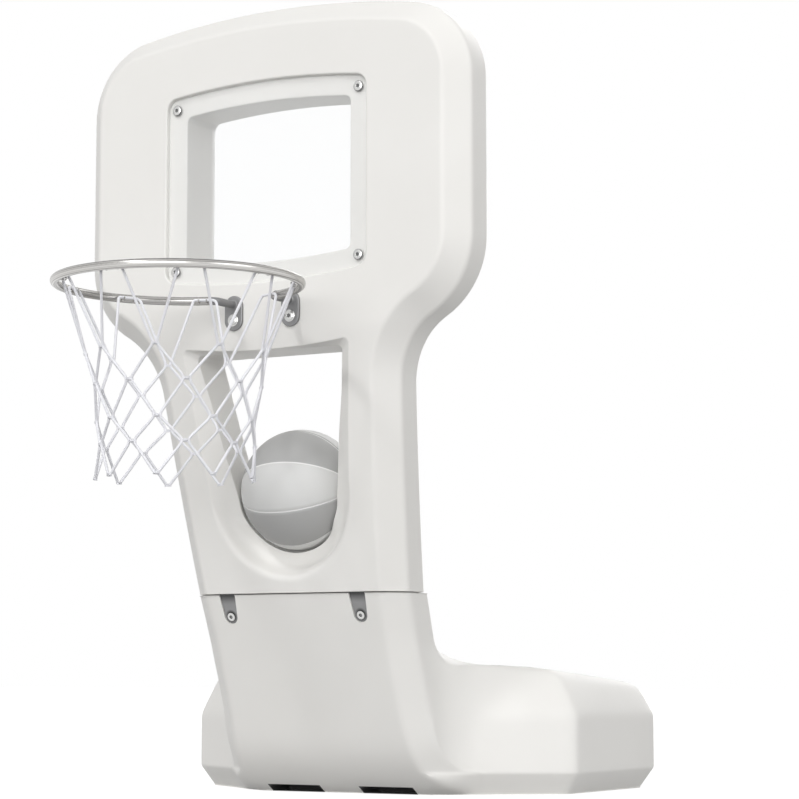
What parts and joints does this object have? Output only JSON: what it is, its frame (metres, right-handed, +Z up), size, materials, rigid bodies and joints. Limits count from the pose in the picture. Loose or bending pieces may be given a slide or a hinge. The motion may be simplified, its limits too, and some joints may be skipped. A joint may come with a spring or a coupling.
{
  "type": "poolside basketball hoop",
  "caption": "Low freestanding basketball hoop with a hollow moulded backboard on a leaning column, a water-filled base, a rim with a net, and an opening that stores a ball.",
  "frame": {"origin": "on the floor, in the middle of the flat underside of the base", "axes": "+Z up, -Y towards the player that the backboard faces, +X to that player's right"},
  "size_m": [0.876, 1.3532, 1.503],
  "materials": {
    "moulded_shell": "satin rotomoulded polyethylene, pale warm grey",
    "clear_pane": "clear polished polycarbonate",
    "screw_steel": "bright stainless steel",
    "rim_steel": "satin stainless steel tube",
    "bracket_steel": "dark grey coated steel",
    "insert_brass": "knurled brass, hidden",
    "washer_nylon": "dark nylon",
    "net_cord": "white braided cord",
    "ball_rubber": "light and mid grey moulded rubber",
    "cap_plastic": "dark grey moulded plastic",
    "seal_rubber": "black rubber",
    "water": "still water"
  },
  "bodies": {
    "hoop": {"upper_shell": "moulded_shell", "lower_shell": "moulded_shell", "window_pane": "clear_pane", "rim_ring": "rim_steel", "net": "net_cord", "fill_collar": "cap_plastic", "fill_gasket": "seal_rubber", "drain_collar": "cap_plastic", "drain_gasket": "seal_rubber", "water_ballast": "water", "pane_screw_upper_left": "screw_steel", "pane_washer_upper_left": "washer_nylon", "pane_insert_upper_left": "insert_brass", "pane_screw_upper_right": "screw_steel", "pane_washer_upper_right": "washer_nylon", "pane_insert_upper_right": "insert_brass", "pane_screw_lower_left": "screw_steel", "pane_washer_lower_left": "washer_nylon", "pane_insert_lower_left": "insert_brass", "pane_screw_lower_right": "screw_steel", "pane_washer_lower_right": "washer_nylon", "pane_insert_lower_right": "insert_brass", "bracket_left": "bracket_steel", "bracket_screw_left": "screw_steel", "bracket_washer_left": "screw_steel", "bracket_insert_left": "insert_brass", "seam_tab_left": "bracket_steel", "seam_screw_left": "screw_steel", "seam_insert_left": "insert_brass", "bracket_right": "bracket_steel", "bracket_screw_right": "screw_steel", "bracket_washer_right": "screw_steel", "bracket_insert_right": "insert_brass", "seam_tab_right": "bracket_steel", "seam_screw_right": "screw_steel", "seam_insert_right": "insert_brass"},
    "ball": {"ball_shell": "ball_rubber", "ball_valve": "seal_rubber"},
    "filler_cap": {"fill_cap": "cap_plastic"},
    "drain_stopper": {"drain_plug": "cap_plastic"}
  },
  "joints": [
    {"name": "ball_lift", "type": "slide", "parent": "hoop", "child": "ball", "axis": [0, 0, 1], "range_m": [0, 0.12]},
    {"name": "filler_cap_turn", "type": "hinge", "parent": "hoop", "child": "filler_cap", "pos_m": [0, 0.045, 0.2167], "axis": [0, 0, 1], "range_deg": [0, 720]},
    {"name": "drain_stopper_turn", "type": "hinge", "parent": "hoop", "child": "drain_stopper", "pos_m": [0, 0.266, 0.092], "axis": [0, 1, 0], "range_deg": [0, 720]}
  ]
}
